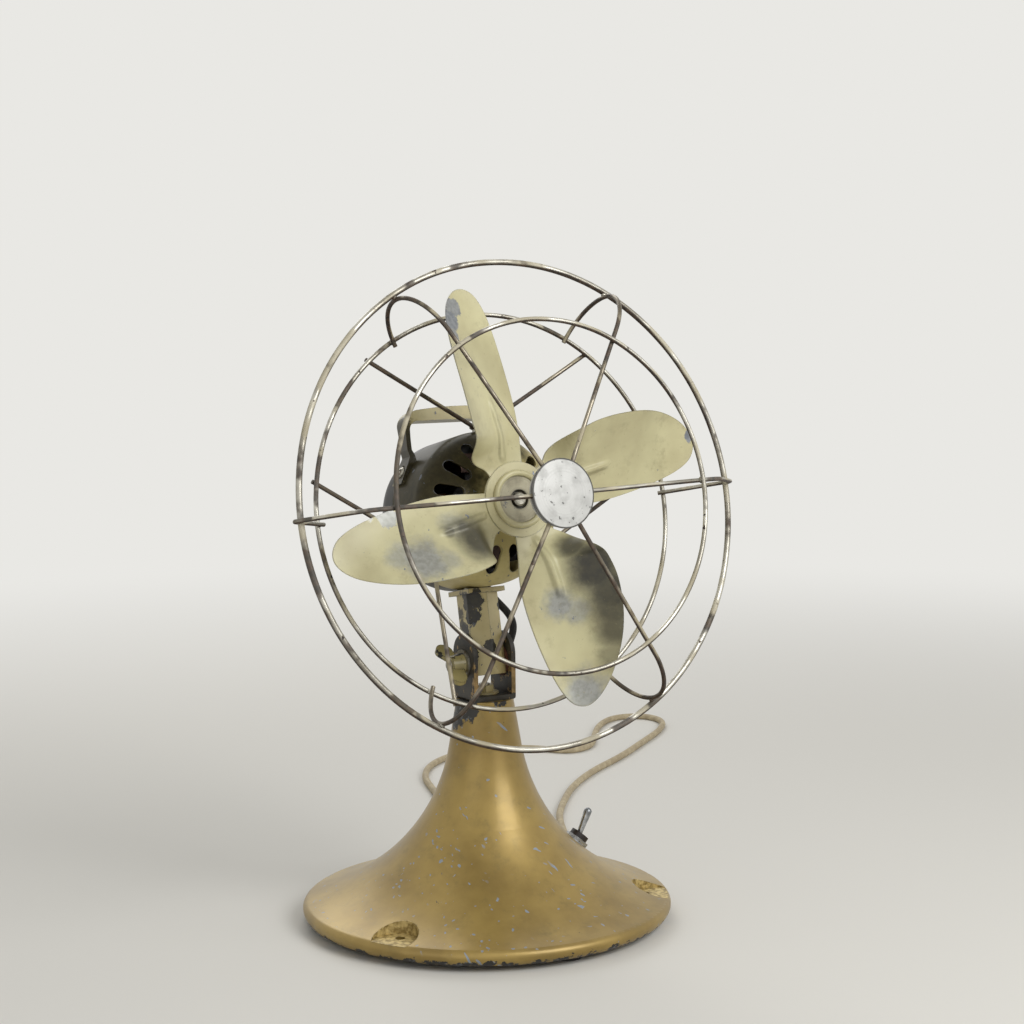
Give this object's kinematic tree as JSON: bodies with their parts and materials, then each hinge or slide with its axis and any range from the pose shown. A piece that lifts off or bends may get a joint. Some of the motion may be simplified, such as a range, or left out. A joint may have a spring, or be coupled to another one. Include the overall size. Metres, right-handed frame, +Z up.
{
  "type": "desk fan",
  "caption": "Electric desk fan with a trumpet base, a tilting motor head with carry handle, pitched blades and an open wire guard.",
  "frame": {"origin": "centre of the round base's footprint, on the surface that it stands on", "axes": "+Z up, -Y the way the air leaves, +X to the right of someone who faces the fan"},
  "size_m": [0.5512, 0.5537, 0.3953],
  "materials": {
    "gold_paint": "satin gold-bronze enamel, chipped",
    "cream_paint": "gloss cream enamel, worn and chipped",
    "black_paint": "black enamel",
    "zinc_steel": "zinc-plated steel",
    "worn_wire": "steel wire with worn paint and rust",
    "copper_wire": "enamelled copper winding",
    "bearing_bronze": "sintered bronze",
    "medal_metal": "spun aluminium, rubbed bright",
    "chrome": "chrome plate",
    "black_plastic": "moulded phenolic",
    "rubber": "black rubber",
    "fibre": "vulcanised fibre",
    "lead_braid": "black rubber lead with a frayed braid",
    "cord_cover": "aged beige flexible cover",
    "pin_brass": "bare brass"
  },
  "bodies": {
    "base": {"base_casting": "gold_paint", "bottom_plate": "gold_paint", "bottom_plate_screws": "zinc_steel", "rubber_feet": "rubber", "cord_grommet": "rubber", "switch_body": "black_plastic", "switch_nut": "chrome", "switch_washer": "chrome", "yoke": "gold_paint", "yoke_bolt": "zinc_steel", "yoke_nut": "zinc_steel", "yoke_washer": "zinc_steel", "tilt_bolt": "zinc_steel", "fibre_washers": "fibre", "clamp_washer": "zinc_steel", "lead_bush": "rubber", "motor_lead": "lead_braid", "cord": "cord_cover", "cord_coil": "cord_cover", "plug_body": "cord_cover", "plug_pins": "pin_brass"},
    "head": {"stem": "cream_paint", "saddle_screws": "zinc_steel", "front_shell": "cream_paint", "rear_cover": "black_paint", "cover_bolts": "zinc_steel", "stator_core": "zinc_steel", "stator_coils": "copper_wire", "front_bearing": "bearing_bronze", "rear_bearing": "bearing_bronze", "carry_handle": "cream_paint", "handle_screws": "zinc_steel", "guard_outer_ring": "worn_wire", "guard_front_ring": "worn_wire", "guard_back_ring": "worn_wire", "guard_spoke_0": "worn_wire", "guard_spoke_60": "worn_wire", "guard_spoke_120": "worn_wire", "guard_spoke_180": "worn_wire", "guard_spoke_240": "worn_wire", "guard_spoke_300": "worn_wire", "guard_strut_top": "worn_wire", "guard_strut_left": "worn_wire", "guard_strut_right": "worn_wire", "strut_screws": "zinc_steel", "medallion": "medal_metal", "medallion_back_plate": "medal_metal"},
    "fan": {"fan_blades": "cream_paint", "fan_hub": "medal_metal", "hub_grub_screw": "zinc_steel", "rotor": "zinc_steel", "motor_shaft": "zinc_steel", "thrust_collars": "zinc_steel"},
    "wing_nut": {"wing_nut": "cream_paint"},
    "switch_lever": {"switch_lever": "chrome"}
  },
  "joints": [
    {"name": "head_tilt", "type": "hinge", "parent": "base", "child": "head", "pos_m": [0, 0, 0.156], "axis": [1, 0, 0], "range_deg": [-33, 32], "deforming": ["motor_lead"]},
    {"name": "fan_spin", "type": "hinge", "parent": "head", "child": "fan", "pos_m": [0, 0.01871, 0.24403], "axis": [0, -0.9781, 0.2079], "continuous": true},
    {"name": "wing_nut_turn", "type": "hinge", "parent": "base", "child": "wing_nut", "pos_m": [-0.0154, 0, 0.156], "axis": [-1, 0, 0], "continuous": true},
    {"name": "switch_toggle", "type": "hinge", "parent": "base", "child": "switch_lever", "pos_m": [0.06186, -0.00541, 0.04074], "axis": [0.0872, 0.9962, 0], "range_deg": [0, 34]}
  ]
}
